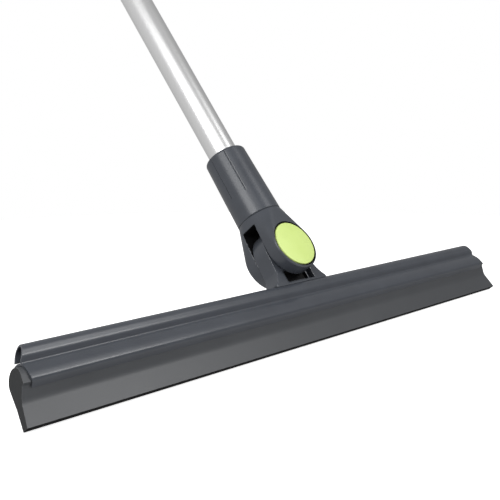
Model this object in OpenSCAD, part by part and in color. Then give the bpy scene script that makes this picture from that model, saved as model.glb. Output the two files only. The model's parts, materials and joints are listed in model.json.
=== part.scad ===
// Floor squeegee with a swivelling head on a full-length tube handle.
// Every piece is drawn in the tool's own frame and then leaned into the working pose.
// Tool frame: origin on the hinge bolt, +X along the blade, front towards -Y, +Z up the handle.
// Row frame: +Z up, front towards -Y, origin on the floor at the middle of the wiping edge.

/* [Blade] */
// Length of the wiping edge
blade_len = 550; // [300:5:900]
// Thickness of the wiping lip at its edge
lip_t = 5.6; // [4:0.1:7]
// How far the lip's front face lies before the blade's plane
lip_front = 2.35; // [1.5:0.05:3]
// Slant of the lip's back, which thickens the lip upwards
lip_taper = 7; // [0:0.5:10]
// Height of the lip
lip_h = 12.9; // [6:0.1:20]
// Height from the lip up to the rail's jaws
flank_h = 13; // [11.5:0.1:18]
// Radius of the hollow where the flank runs into the lip
flank_r = 10; // [6:0.5:12]
// Diameter of the bulb that the rail grips
bulb_d = 16.8; // [14:0.1:18]
// Slant of the blade's cut ends, measured from the handle's direction
end_slant = 11.5; // [0:0.5:18]

/* [Carrier rail] */
// Depth of the hook's channel, from the rail's top down to the jaws
hook_depth = 10.6; // [10:0.1:14]
// Wall of the rear jaw around the bulb
jaw_wall = 1.4; // [1.2:0.05:2.4]
// How far the jaws reach below the centre of the bulb
jaw_reach = 3; // [2:0.1:3.8]
// Outside width of the arched hook along the rail's top
hook_d = 11; // [10.4:0.1:13]
// Wall of the hook
hook_wall = 1.4; // [1.2:0.05:2]
// Distance of the hook's centre in front of the blade's plane
hook_shift = 3.3; // [2:0.1:4]
// How far the hook's straight rear wall reaches below the arch
hook_lip = 3.6; // [0:0.1:4]
// How far the hook's front wall runs straight down below the arch
hook_drop = 3.7; // [2:0.1:4.2]
// Slant of the hook's cut ends above the jaws, measured from the handle's direction
hook_slant = 26.5; // [0:0.5:32]
// Thickness of the front jaw at its lower edge
jaw_lip = 2.3; // [2:0.1:3]
// Radius of the front jaw's outer face
jaw_face_r = 18; // [16:0.5:22]
// Radius of the front jaw's rounded lower edge
jaw_round = 3; // [2:0.1:3.4]
// Angle that the front jaw's outer face turns through, up to the crease under the hook
crease_angle = 37; // [34:1:40]
// How far the wiping edge stands out past each square end of the jaws
blade_proud = 10.5; // [8:0.1:16]

/* [Hinge bracket] */
// Space between the fork's cheeks and the rail's top
rail_gap = 5.4; // [3:0.1:12]
// Diameter of the tongue's round end
tongue_d = 45; // [40:0.5:48]
// Thickness of the tongue
tongue_t = 15; // [13:0.1:17]
// How much wider each side of the tongue is at its foot
side_flare = 1.3; // [0.6:0.1:4]
// How far the foot spreads past the tongue's side at each end
foot_spread = 7; // [5:0.1:10]
// Height above the foot at which the tongue's sides begin to spread
foot_rise = 11; // [8:0.1:13]
// Radius of the shallow hollow between the tongue's sides and its foot
foot_r = 25; // [14:0.5:60]
// Thickness of the foot at its ends
foot_t = 0.6; // [0.4:0.1:2]
// How far the foot's skirts reach down over the hook
foot_skirt = 2.2; // [1.5:0.1:3]
// Width of the solid post that holds a screw on each side of the pockets
post_w = 7.2; // [6.4:0.1:9]
// Thickness of the web between the front and rear pockets
pocket_web = 3.4; // [2:0.1:6]
// Thickness of the ribs in the pockets
rib_t = 2; // [1:0.1:3]
// Distance of each rib from the post beside it
rib_gap = 3.6; // [2:0.1:8]

/* [Hinge] */
// Diameter of the fork's cheeks
cheek_d = 44; // [42:0.5:48]
// Radius of the cheeks' rounded rims
cheek_rim = 1.8; // [0.5:0.1:2.4]
// Width of the cheeks' rim around each cover
cheek_wall = 1.6; // [1:0.1:4]
// Space between the tongue and the slot's crown
crown_gap = 5.5; // [3:0.1:9]
// Thickness of the crown between the slot and the seam under the sleeve
crown_t = 8.4; // [6:0.1:12]
// Diameter of the hinge bolt
bolt_d = 8; // [6:0.5:8]
// Diameter of the hinge bolt's head
bolt_head_d = 13; // [11:0.5:15]
// Height of the hinge bolt's head
bolt_head_h = 4.5; // [3:0.1:5]
// Width across the flats of the lock nut
nut_flats = 13; // [10:0.5:14]
// Height of the lock nut
nut_h = 4.6; // [3:0.1:5]
// Thickness of the spring washer under the nut
spring_t = 1.2; // [0.8:0.1:1.6]
// Outside diameter of the bush in the tongue
bush_d = 11; // [10:0.5:14]
// Outside diameter of the thrust washers
thrust_d = 24; // [20:0.5:26]
// Thickness of the thrust washers
thrust_t = 1; // [0.6:0.1:1.4]
// Thickness of each cheek under the bolt's head and under the spring washer
cheek_seat = 3.2; // [3:0.1:5]
// Space between the nut's corners and the snap collar around them
collar_room = 1.4; // [0.6:0.1:2.4]
// Space between the nut and the cover over it
cap_room = 0.3; // [0.2:0.1:1]
// Thickness of a cover at its rim
cap_t = 2.8; // [2:0.1:3]
// Height of a cover's dome above its rim
cap_dome = 0.9; // [0.4:0.1:1.5]
// Depth of the snap collar behind a cover
cap_collar = 3.6; // [2:0.1:4]
// Wall of the snap collar
cap_collar_wall = 1.5; // [1:0.1:2]

/* [Rail fixing] */
// Diameter of the screws that hold the bracket
screw_d = 4; // [3:0.1:4.6]
// Diameter of those screws' heads
screw_head_d = 7; // [6:0.5:8]
// Height of those screws' heads
screw_head_h = 2.4; // [1.6:0.1:2.6]
// Depth of the screws in the bracket
screw_bite = 6.5; // [4:0.5:7]
// How far the clamp bar inside the hook reaches past each screw
bar_end = 10; // [6:0.5:30]
// Height of the clamp bar
bar_h = 4.6; // [3:0.1:5]

/* [Socket] */
// Wall of the sleeve's foot around the fork's collar
sleeve_wall = 4.4; // [3:0.1:5.5]
// Wall of the sleeve around the tube, at its rim
finger_wall = 5.5; // [4:0.1:6.5]
// Chamfer on each side of the seam between fork and sleeve
seam_chamfer = 0.6; // [0.2:0.1:1]
// Length of the sleeve
sleeve_len = 63.5; // [55:0.5:80]
// Radius of the sleeve's rounded rim
rim_r = 2.4; // [1:0.1:2.6]
// Number of slits in each side of the sleeve
slits_per_side = 3; // [1:2:5]
// Angle from one slit to the next
slit_step = 45; // [25:1:45]
// Width of each slit
slit_w = 0.8; // [0.5:0.1:2]
// Depth of each slit at the rim
slit_depth = 3; // [1.5:0.1:3.4]
// Height of the closed part of the sleeve below the slits
slit_base = 21.5; // [21:0.5:40]
// Height of the collar on the fork, inside the sleeve
collar_h = 8; // [6:0.5:12]
// Wall of the collar outside the tube
collar_wall = 2.4; // [1.5:0.1:2.6]
// Length of the fork's spigot inside the tube
spigot_len = 46; // [30:1:60]
// Diameter of the tube screw at the back of the sleeve
tube_screw_d = 4; // [3:0.5:5]
// Diameter of the tube screw's head
tube_screw_head_d = 7.6; // [6:0.2:9]
// Height of the tube screw's head
tube_screw_head_h = 2.2; // [1.5:0.1:3]
// Height of the tube screw above the fork's collar
tube_screw_rise = 7; // [6:0.5:8]
// How far the tube screw bites into the spigot
tube_screw_bite = 6; // [4:0.5:8]

/* [Handle] */
// Outside diameter of the tube
tube_d = 25; // [22:0.5:26]
// Wall of the tube
tube_wall = 1.2; // [0.8:0.1:2]
// Length of the tube
tube_len = 1240; // [900:10:1600]
// Wall of the grip around the tube
grip_wall = 3; // [2.2:0.1:5]
// Length of the grip
grip_len = 160; // [100:5:220]
// Number of ring grooves in the grip
groove_count = 14; // [4:1:18]
// Radius of each ring groove
groove_r = 1.4; // [0.8:0.1:2]
// Height of the grip's collar at its lower end
grip_collar_h = 9; // [6:0.5:12]
// How far the grip's collar stands out past the grip
grip_collar_out = 2; // [1:0.1:4]
// Thickness of the end cap's round flange
hanger_flange_t = 5; // [3:0.5:8]
// Length of the end cap's plug in the tube
plug_len = 28; // [15:1:40]
// Width of the hanging eye
eye_w = 24; // [20:0.5:28]
// Thickness of the hanging eye
eye_t = 9; // [6:0.5:12]
// Height of the eye's hole above the flange
eye_h = 13; // [12:0.5:20]
// Diameter of the hanging hole
eye_hole_d = 10; // [6:0.5:12]

/* [Pose] */
// Lean of the handle back from the vertical
lean = 38.7; // [0:0.1:60]

/* [Fits] */
// Radial running clearance of the bolt in its bush
run_fit = 0.05; // [0.02:0.01:0.09]
// Clearance around pieces that are pressed or slid together
slip_fit = 0.05; // [0.02:0.01:0.1]
// Clearance between the bulb and the jaws
bulb_fit = 0.15; // [0.05:0.05:0.3]
// Side clearance between the tongue and each cheek
slot_fit = 0.4; // [0.35:0.05:0.8]
// Clearance around the thrust washers and screw heads
wide_fit = 0.35; // [0.3:0.05:0.6]
// Face clearance between the tongue and each thrust washer
face_fit = 0.1; // [0.05:0.01:0.2]
// Width of the shadow gap around each round cover
cap_fit = 0.9; // [0.4:0.05:1.2]

/* [Hidden] */
$fn = 96;

// Radii
bulb_r = bulb_d / 2;
jaw_in_r = bulb_r + bulb_fit;
jaw_out_r = jaw_in_r + jaw_wall;
hook_r = hook_d / 2;
hook_in_r = hook_r - hook_wall;
tongue_r = tongue_d / 2;
cheek_r = cheek_d / 2;
cap_r = cheek_r - cheek_wall - cap_fit;
tube_r = tube_d / 2;
tube_in_r = tube_r - tube_wall;
collar_r = tube_r + collar_wall;
sleeve_r = collar_r + sleeve_wall;
grip_r = tube_r + grip_wall;
nut_r = nut_flats / 2 / cos(30);
seat_r = nut_r + collar_room + cap_collar_wall + slip_fit;

// Heights in the tool frame
rail_top = -cheek_r - rail_gap;
foot_top = rail_top + foot_t;
hook_z = rail_top - hook_r;
bulb_z = rail_top - hook_depth - jaw_out_r;
jaw_z = bulb_z - jaw_reach;
lip_top = jaw_z - flank_h;
tip_z = lip_top - lip_h;
crown_h = tongue_r + crown_gap;
seam_h = crown_h + crown_t;
sleeve_top = seam_h + sleeve_len;
tube_bottom = seam_h + collar_h;
tube_top = tube_bottom + tube_len;
eye_z = tube_top + hanger_flange_t + eye_h;

// The blade's flanks leave its bulb at these angles and run into the hollows above the lip
lip_back = lip_t - lip_front;
front_hollow = [lip_front + flank_r, lip_top];
back_hollow = [
    lip_back + lip_h * tan(lip_taper) + flank_r * cos(lip_taper),
    lip_top - flank_r * sin(lip_taper)
];
function leaving_angle(hollow) = acos((bulb_r + flank_r) / norm([hollow.x, bulb_z - hollow.y]))
    - atan2(bulb_z - hollow.y, hollow.x);
flank_angle = leaving_angle(front_hollow);
back_angle = leaving_angle(back_hollow);

// Places across the bracket
side_half = tongue_r + side_flare;
pocket_half = side_half - post_w;
screw_x = side_half - post_w / 2;
bar_half = screw_x + bar_end;

// Stations along the hinge axis, in front of the blade's plane
slot_n = tongue_t / 2 + slot_fit;
seat_n = slot_n + cheek_seat;
nut_n = seat_n + spring_t;
cap_seat_n = max(seat_n + bolt_head_h, nut_n + nut_h) + cap_room;
fork_half = cap_seat_n + cap_t;
thrust_seat_n = slot_n - thrust_t - face_fit;

// Half lengths, the blade's at its wiping edge
slant = tan(end_slant);
blade_half = blade_len / 2;
rail_half = blade_half - blade_proud;

// Where the leaned tool frame lies in the row frame
floor_y = -tip_z * sin(lean) - lip_back * cos(lean);
floor_z = -tip_z * cos(lean) + lip_back * sin(lean);

// Helper lengths that reach clear through whatever they cut
through = 4;
// Share of a screw's diameter that its hexagonal key socket takes
key_share = 0.7;

// Colours
slate = [0.29, 0.31, 0.335];
dark_rubber = [0.27, 0.275, 0.285];
lime = [0.85, 0.94, 0.56];
bright_metal = [0.82, 0.83, 0.84];
steel = [0.62, 0.63, 0.65];
off_white = [0.86, 0.86, 0.83];

// Leans the tool frame into the working pose, with the wiping edge on the floor
module posed() {
    translate([0, floor_y, floor_z]) rotate([-lean, 0, 0]) children();
}

// Extrudes an outline drawn as (across the blade, up the handle) along the hinge axis
module along_hinge(from, to) {
    rotate([90, 0, 0]) translate([0, 0, from]) linear_extrude(to - from) children();
}

// Extrudes a section drawn as (in front of the blade's plane, up the handle) along the blade
module along_blade(length) {
    rotate([90, 0, 90]) linear_extrude(length, center = true) mirror([1, 0]) children();
}

// The two faces of a fork or tongue are alike: draws the children in front and behind
module both_faces() {
    children();
    mirror([0, 1, 0]) children();
}

// Points along an arc, for an outline
function arc(centre, r, from, to, steps) = [
    for (i = [0:steps])
        let (a = from + (to - from) * i / steps)
        centre + r * [cos(a), sin(a)]
];

// Keeps what lies between the blade's two slanted end cuts
module between_blade_ends() {
    top_half = blade_half + slant * (tip_z - rail_top);
    along_hinge(-bulb_d, bulb_d)
        polygon([
            [-blade_half, tip_z], [blade_half, tip_z],
            [top_half, rail_top], [-top_half, rail_top]
        ]);
}

// Head

// Keeps what lies between the rail's ends: square at the jaws, cut back on a slant above them
module between_rail_ends() {
    hook_base = rail_top - hook_depth;
    top_half = rail_half - tan(hook_slant) * (rail_top + through - hook_base);
    low_z = jaw_z - jaw_round - through;
    along_hinge(-bulb_d, bulb_d)
        polygon([
            [-rail_half, low_z], [rail_half, low_z], [rail_half, hook_base],
            [top_half, rail_top + through], [-top_half, rail_top + through], [-rail_half, hook_base]
        ]);
}

// One closed outline: over the hook, down its front wall and in to the crease, down the front jaw and
// round its lower edge, along the blade's flank and bulb, round the rear jaw and back inside the hook
module rail_section() {
    hook_c = [hook_shift, hook_z];
    bulb_c = [0, bulb_z];
    front_out = hook_shift + hook_r;
    belly_z = hook_z - hook_drop;
    face_n = sqrt(pow(jaw_in_r, 2) - pow(jaw_reach, 2)) + jaw_lip;
    face = arc([face_n - jaw_face_r, jaw_z], jaw_face_r, crease_angle, 0, 14);
    flank_end = bulb_c + jaw_in_r * [cos(flank_angle), sin(flank_angle)];
    edge_drop = flank_end.y - jaw_z + jaw_round;
    wall_angle = acos((face[0].x - hook_wall) / jaw_out_r);
    lip_z = hook_z - hook_lip;
    mouth_out = -asin(jaw_reach / jaw_out_r);
    mouth_in = -asin(jaw_reach / jaw_in_r);
    polygon(concat(
        [[hook_shift - hook_r, lip_z]],
        arc(hook_c, hook_r, 180, 0, 36),
        [[front_out, belly_z]],
        face,
        arc([face_n - jaw_round, jaw_z], jaw_round, -10, -90, 8),
        [flank_end + edge_drop * [tan(flank_angle), -1]],
        arc(bulb_c, jaw_in_r, flank_angle, 180 - mouth_in, 44),
        arc(bulb_c, jaw_out_r, 180 - mouth_out, wall_angle, 28),
        [[front_out - hook_wall, belly_z]],
        arc(hook_c, hook_in_r, 0, 180, 36),
        [[hook_shift - hook_in_r, lip_z]]
    ));
}

module carrier_rail() {
    color(slate) posed() difference() {
        intersection() {
            along_blade(blade_len) rail_section();
            between_rail_ends();
        }
        rail_screw_places() cylinder(h = 2 * hook_d, d = screw_d + 2 * slip_fit, center = true);
    }
}

// The screw axes, with the hook's top at their origin
module rail_screw_places() {
    for (side = [-1, 1])
        translate([side * screw_x, -hook_shift, rail_top]) children();
}

// The bulb runs into the flanks by their tangents, and a hollow turns each flank into the lip
module blade_section() {
    polygon(concat(
        arc([0, bulb_z], bulb_r, flank_angle, 180 - back_angle, 44),
        arc([-back_hollow.x, back_hollow.y], flank_r, -back_angle, lip_taper, 8),
        [[-lip_back, tip_z], [lip_front, tip_z]],
        arc(front_hollow, flank_r, 180, 180 + flank_angle, 8)
    ));
}

module squeegee_blade() {
    color(dark_rubber) posed() intersection() {
        along_blade(blade_len) blade_section();
        between_blade_ends();
    }
}

// The tongue's round end, its sides and the hollows that spread them to the foot
module bracket_outline() {
    foot_bottom = rail_top - foot_skirt;
    side_end = [side_half, foot_top + foot_rise];
    foot_end = [side_half + foot_spread, foot_top];
    spread = foot_end - side_end;
    sweep = asin(norm(spread) / 2 / foot_r);
    middle = 180 + atan2(spread.x, -spread.y);
    hollow = foot_end - foot_r * [cos(middle + sweep), sin(middle + sweep)];
    polygon(concat(
        arc([0, 0], tongue_r, 0, 180, 60),
        arc([-hollow.x, hollow.y], foot_r, sweep - middle + 180, 180 - middle - sweep, 12),
        [[-foot_end.x, foot_bottom], [foot_end.x, foot_bottom]],
        arc(hollow, foot_r, middle + sweep, middle - sweep, 12)
    ));
}

// A cored pocket, open to the front, with two ribs set back from its mouth
module bracket_pocket() {
    pocket_top = -thrust_d / 2 - wide_fit - pocket_web;
    rib_front = (pocket_web + tongue_t) / 4;
    rib_x = pocket_half - rib_gap;
    difference() {
        along_hinge(pocket_web / 2, tongue_t)
            polygon([
                [-pocket_half, foot_top], [pocket_half, foot_top],
                [pocket_half, pocket_top], [-pocket_half, pocket_top]
            ]);
        along_hinge(0, rib_front)
            for (side = [-1, 1])
                translate([side * rib_x - rib_t / 2, rail_top]) square([rib_t, -rail_top]);
    }
}

module hinge_bracket() {
    color(slate) posed() difference() {
        along_hinge(-tongue_t / 2, tongue_t / 2) bracket_outline();
        along_blade(2 * (side_half + foot_spread) + through)
            translate([hook_shift, hook_z]) circle(hook_r + slip_fit);
        along_hinge(-tongue_t, tongue_t) circle(bush_d / 2 + slip_fit);
        both_faces() along_hinge(thrust_seat_n, tongue_t) circle(thrust_d / 2 + wide_fit);
        both_faces() bracket_pocket();
        rail_screw_places() translate([0, 0, -through])
            cylinder(h = through + screw_bite + slip_fit, d = screw_d + 2 * slip_fit);
    }
}

// A bar with a round back that fills the top of the hook and takes the screws' pull
module clamp_bar() {
    bar_r = hook_in_r - slip_fit;
    color(steel) posed() difference() {
        intersection() {
            along_blade(2 * bar_half) translate([hook_shift, hook_z]) circle(bar_r);
            translate([-2 * bar_half, -hook_d, rail_top - hook_wall - bar_h])
                cube([4 * bar_half, 2 * hook_d, hook_d]);
        }
        rail_screw_places() cylinder(h = 2 * hook_d, d = screw_d + 2 * slip_fit, center = true);
    }
}

module bracket_screws() {
    head_seat = -hook_wall - bar_h;
    color(steel) posed() rail_screw_places() {
        translate([0, 0, head_seat]) cylinder(h = screw_bite - head_seat, d = screw_d);
        translate([0, 0, head_seat - screw_head_h]) difference() {
            cylinder(h = screw_head_h, d = screw_head_d);
            cylinder(h = screw_head_h, d = key_share * screw_d, $fn = 6, center = true);
        }
    }
}

module pivot_bush() {
    color(off_white) posed() along_hinge(-thrust_seat_n, thrust_seat_n) difference() {
        circle(bush_d / 2);
        circle(bolt_d / 2 + run_fit);
    }
}

// Hinge and socket, fixed to the handle

// The boss that both cheeks are cut from, with rounded rims
module fork_boss() {
    rotate([90, 0, 0]) rotate_extrude($fn = 72)
        polygon(concat(
            [[0, -fork_half]],
            arc([cheek_r - cheek_rim, cheek_rim - fork_half], cheek_rim, -90, 0, 4),
            arc([cheek_r - cheek_rim, fork_half - cheek_rim], cheek_rim, 0, 90, 4),
            [[0, fork_half]]
        ));
}

// The neck spreads from the round seam under the sleeve to the boss
module fork_body() {
    hull() {
        fork_boss();
        translate([0, 0, seam_h - 2 * seam_chamfer])
            cylinder(h = seam_chamfer, r = sleeve_r, $fn = 72);
        translate([0, 0, seam_h - seam_chamfer])
            cylinder(h = seam_chamfer, r1 = sleeve_r, r2 = sleeve_r - seam_chamfer, $fn = 72);
    }
}

module swivel_fork() {
    color(slate) posed() difference() {
        union() {
            fork_body();
            cylinder(h = tube_bottom, r = collar_r);
            cylinder(h = tube_bottom + spigot_len, r = tube_in_r - slip_fit);
        }
        translate([-cheek_d, -slot_n, crown_h - 2 * cheek_d])
            cube([2 * cheek_d, 2 * slot_n, 2 * cheek_d]);
        along_hinge(-2 * fork_half, 2 * fork_half) circle(bolt_d / 2 + slip_fit);
        both_faces() along_hinge(seat_n, 2 * fork_half) circle(seat_r);
        both_faces() along_hinge(cap_seat_n, 2 * fork_half) circle(cap_r + cap_fit);
        tube_screw_place()
            cylinder(h = 2 * tube_screw_bite, d = tube_screw_d + 2 * slip_fit, center = true);
    }
}

module hinge_bolt() {
    color(steel) posed() difference() {
        union() {
            along_hinge(-nut_n - nut_h, seat_n) circle(d = bolt_d);
            along_hinge(seat_n, seat_n + bolt_head_h) circle(d = bolt_head_d);
        }
        along_hinge(seat_n + bolt_head_h / 2, 2 * fork_half)
            circle(d = key_share * bolt_d, $fn = 6);
    }
}

module thrust_washer() {
    along_hinge(slot_n - thrust_t, slot_n) difference() {
        circle(d = thrust_d);
        circle(bolt_d / 2 + slip_fit);
    }
}

module front_thrust_washer() {
    color(off_white) posed() thrust_washer();
}

module rear_thrust_washer() {
    color(off_white) posed() mirror([0, 1, 0]) thrust_washer();
}

module spring_washer() {
    color(steel) posed() along_hinge(-nut_n, -seat_n) difference() {
        circle(nut_r);
        circle(bolt_d / 2 + slip_fit);
    }
}

module lock_nut() {
    color(steel) posed() along_hinge(-nut_n - nut_h, -nut_n) difference() {
        circle(nut_r, $fn = 6);
        circle(bolt_d / 2 + slip_fit);
    }
}

// A round cover with a shallow dome and a collar that snaps into the recess around the bolt
module hinge_cap() {
    dome_r = (cap_r * cap_r + cap_dome * cap_dome) / (2 * cap_dome);
    dome_half = asin(cap_r / dome_r);
    dome = arc([0, fork_half + cap_dome - dome_r], dome_r, 90 - dome_half, 90, 6);
    collar_out = seat_r - slip_fit;
    collar_in = collar_out - cap_collar_wall;
    rotate([90, 0, 0]) rotate_extrude()
        polygon(concat(
            [
                [0, cap_seat_n], [collar_in, cap_seat_n], [collar_in, cap_seat_n - cap_collar],
                [collar_out, cap_seat_n - cap_collar], [collar_out, cap_seat_n], [cap_r, cap_seat_n]
            ],
            dome
        ));
}

module front_cap() {
    color(lime) posed() hinge_cap();
}

module rear_cap() {
    color(lime) posed() mirror([0, 1, 0]) hinge_cap();
}

// The tube screw's axis points out of the back of the sleeve, with the tube's inner wall at its origin
module tube_screw_place() {
    translate([0, tube_in_r, tube_bottom + tube_screw_rise]) rotate([-90, 0, 0]) children();
}

module handle_sleeve() {
    rim_z = sleeve_top - rim_r;
    rim_out = tube_r + finger_wall;
    rim = arc([rim_out - rim_r, rim_z], rim_r, 0, 90, 6);
    bore_r = tube_r + slip_fit;
    counterbore_r = collar_r + slip_fit;
    step_z = tube_bottom + slip_fit;
    slit_bottom = seam_h + slit_base;
    color(slate) posed() difference() {
        rotate_extrude()
            polygon(concat(
                [[counterbore_r, seam_h], [sleeve_r - seam_chamfer, seam_h]],
                [[sleeve_r, seam_h + seam_chamfer]],
                rim,
                [[bore_r, sleeve_top], [bore_r, step_z], [counterbore_r, step_z]]
            ));
        for (side = [0, 180], i = [0:slits_per_side - 1])
            rotate([0, 0, side + slit_step * (i - (slits_per_side - 1) / 2)])
                translate([rim_out - slit_depth, -slit_w / 2, slit_bottom])
                    cube([sleeve_r, slit_w, sleeve_len]);
        tube_screw_place() cylinder(h = sleeve_r, d = tube_screw_d + 2 * slip_fit);
        tube_screw_place() translate([0, 0, tube_screw_seat()])
            cylinder(h = sleeve_r, d = tube_screw_head_d + 2 * wide_fit);
    }
}

// Distance of the tube screw's head seat from the tube's inner wall
function tube_screw_seat() = tube_wall + (sleeve_r - tube_r) / 2;

module tube_screw() {
    color(steel) posed() tube_screw_place() {
        translate([0, 0, slip_fit - tube_screw_bite])
            cylinder(h = tube_screw_bite + tube_screw_seat(), d = tube_screw_d);
        translate([0, 0, tube_screw_seat()]) cylinder(h = tube_screw_head_h, d = tube_screw_head_d);
    }
}

// Handle

module handle_tube() {
    color(bright_metal) posed() difference() {
        translate([0, 0, tube_bottom]) cylinder(h = tube_len, r = tube_r);
        translate([0, 0, tube_bottom - through]) cylinder(h = tube_len + 2 * through, r = tube_in_r);
        tube_screw_place() cylinder(h = tube_d, d = tube_screw_d + 2 * slip_fit, center = true);
    }
}

module hand_grip() {
    bottom = tube_top - grip_len + grip_collar_h;
    pitch = (tube_top - bottom) / (groove_count + 1);
    color(slate) posed() rotate_extrude() difference() {
        translate([tube_r + slip_fit, bottom]) square([grip_r - tube_r - slip_fit, tube_top - bottom]);
        for (i = [1:groove_count])
            translate([grip_r + groove_r / 2, bottom + i * pitch]) circle(groove_r, $fn = 32);
    }
}

module grip_collar() {
    bottom = tube_top - grip_len;
    chamfer = 1.5;
    collar_out = grip_r + grip_collar_out;
    color(lime) posed() rotate_extrude()
        polygon([
            [tube_r + slip_fit, bottom], [collar_out - chamfer, bottom], [collar_out, bottom + chamfer],
            [collar_out, bottom + grip_collar_h - chamfer], [collar_out - chamfer, bottom + grip_collar_h],
            [tube_r + slip_fit, bottom + grip_collar_h]
        ]);
}

module hanger_cap() {
    flange_top = tube_top + hanger_flange_t;
    plug_bottom = tube_top - plug_len;
    plug_r = tube_in_r - slip_fit;
    chamfer = 1.5;
    color(slate) posed() difference() {
        union() {
            rotate_extrude()
                polygon([
                    [0, plug_bottom], [plug_r - chamfer, plug_bottom], [plug_r, plug_bottom + chamfer],
                    [plug_r, tube_top], [grip_r, tube_top], [grip_r, flange_top - chamfer],
                    [grip_r - chamfer, flange_top], [0, flange_top]
                ]);
            along_hinge(-eye_t / 2, eye_t / 2) {
                translate([0, eye_z]) circle(d = eye_w);
                translate([-eye_w / 2, tube_top]) square([eye_w, eye_z - tube_top]);
            }
        }
        along_hinge(-eye_t, eye_t) translate([0, eye_z]) circle(d = eye_hole_d);
    }
}

carrier_rail();
squeegee_blade();
hinge_bracket();
clamp_bar();
bracket_screws();
pivot_bush();
swivel_fork();
hinge_bolt();
front_thrust_washer();
rear_thrust_washer();
spring_washer();
lock_nut();
front_cap();
rear_cap();
handle_sleeve();
tube_screw();
handle_tube();
hand_grip();
grip_collar();
hanger_cap();
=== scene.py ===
import json
import math

import bmesh
import bpy
from mathutils import Matrix, Vector


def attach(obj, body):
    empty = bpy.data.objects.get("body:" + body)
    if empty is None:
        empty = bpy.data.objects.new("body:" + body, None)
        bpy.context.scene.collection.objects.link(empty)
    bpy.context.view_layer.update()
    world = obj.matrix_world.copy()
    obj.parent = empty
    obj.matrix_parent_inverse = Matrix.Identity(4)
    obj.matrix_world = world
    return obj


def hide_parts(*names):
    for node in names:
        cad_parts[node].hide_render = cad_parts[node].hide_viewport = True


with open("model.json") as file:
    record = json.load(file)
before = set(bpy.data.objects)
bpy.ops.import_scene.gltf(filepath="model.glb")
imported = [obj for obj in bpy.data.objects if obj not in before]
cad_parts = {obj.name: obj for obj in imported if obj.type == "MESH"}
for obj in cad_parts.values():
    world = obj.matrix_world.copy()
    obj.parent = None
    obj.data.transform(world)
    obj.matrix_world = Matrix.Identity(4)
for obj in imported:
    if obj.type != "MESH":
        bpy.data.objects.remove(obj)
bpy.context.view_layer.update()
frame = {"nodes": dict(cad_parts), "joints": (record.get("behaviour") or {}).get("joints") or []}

# Wiping blade
# One length of extruded EPDM rubber: a round bulb with a shoulder for the rail's front jaw, a flank that
# thins down from it and a lip whose back slants. Both ends are cut on a slant; the underside is ground and
# painted near black as shade.

# Pieces are drawn about the hinge bolt, in millimetres: n in front of the blade's plane, h up the handle
MM = 0.001
swivel = frame["joints"][0]
bolt_axis = Vector(swivel["axis"])
blade_way = Vector((1, 0, 0))
handle_way = bolt_axis.cross(blade_way)
tool_to_row = Matrix((blade_way, -bolt_axis, handle_way)).transposed().to_4x4()
tool_to_row.translation = Vector(swivel["pos_m"])
row_to_tool = tool_to_row.inverted()


def on_circle(centre, radius, angle):
    """A point of a flat outline on a circle, with its angle in degrees."""
    way = math.radians(angle)
    return centre[0] + radius * math.cos(way), centre[1] + radius * math.sin(way)


def arc(centre, radius, start, end, steps):
    """Points of a flat outline along an arc, with its angles in degrees."""
    return [on_circle(centre, radius, start + (end - start) * i / steps) for i in range(steps + 1)]


def new_piece(name, mesh):
    """Links a mesh as an object at the origin."""
    piece = bpy.data.objects.new(name, mesh)
    bpy.context.scene.collection.objects.link(piece)
    return piece


def closed_piece(name, shape):
    """Turns a closed shape's faces outwards and makes it a piece."""
    bmesh.ops.recalc_face_normals(shape, faces=shape.faces)
    mesh = bpy.data.meshes.new(name)
    shape.to_mesh(mesh)
    shape.free()
    return new_piece(name, mesh)


def long_bar(name, outline, half_length, fold=()):
    """Runs an outline of (n, h) along the blade to two ends, whose half length is a function of the height.
    An end that bends at a height is split between the two points of the fold."""
    shape = bmesh.new()
    ends = []
    for side in (-1, 1):
        ring = [shape.verts.new((side * half_length(h) * MM, -n * MM, h * MM)) for n, h in outline]
        cap = shape.faces.new(ring)
        if fold:
            bmesh.utils.face_split(cap, *[ring[outline.index(corner)] for corner in fold])
        ends.append(ring)
    left, right = ends
    for i in range(len(outline)):
        j = (i + 1) % len(outline)
        shape.faces.new((left[i], left[j], right[j], right[i]))
    return closed_piece(name, shape)


def finish_piece(piece, body, slot, *nodes, edge=0.0, sharp=40.0, pose=True):
    """Leans a piece into its pose, rounds its edges, makes it a plain mesh and hands it to its body."""
    if pose:
        piece.data.transform(tool_to_row)
    if edge:
        bevel = piece.modifiers.new("rounded edges", "BEVEL")
        bevel.width = edge * MM
        bevel.segments = 3
        bevel.limit_method = "ANGLE"
        bevel.angle_limit = math.radians(sharp)
        piece.data.shade_smooth()
        piece.modifiers.new("flat faces stay flat", "WEIGHTED_NORMAL")
    graph = bpy.context.evaluated_depsgraph_get()
    mesh = bpy.data.meshes.new_from_object(piece.evaluated_get(graph))
    piece.modifiers.clear()
    piece.data = mesh
    if not edge:
        mesh.shade_smooth()
        mesh.set_sharp_from_angle(angle=math.radians(sharp))
    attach(piece, body)
    if nodes:
        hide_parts(*nodes)


def linear(code):
    """An sRGB hex colour as linear light."""
    parts = [int(code[i:i + 2], 16) / 255 for i in (0, 2, 4)]
    return [p / 12.92 if p <= 0.04045 else ((p + 0.055) / 1.055) ** 2.4 for p in parts] + [1.0]


def add_node(tree, kind, inputs=None, **settings):
    """Adds a node, sets its properties, and sets or links its inputs."""
    made = tree.nodes.new(kind)
    for name, value in settings.items():
        setattr(made, name, value)
    for name, value in (inputs or {}).items():
        if isinstance(value, bpy.types.NodeSocket):
            tree.links.new(value, made.inputs[name])
        else:
            made.inputs[name].default_value = value
    return made


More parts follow.
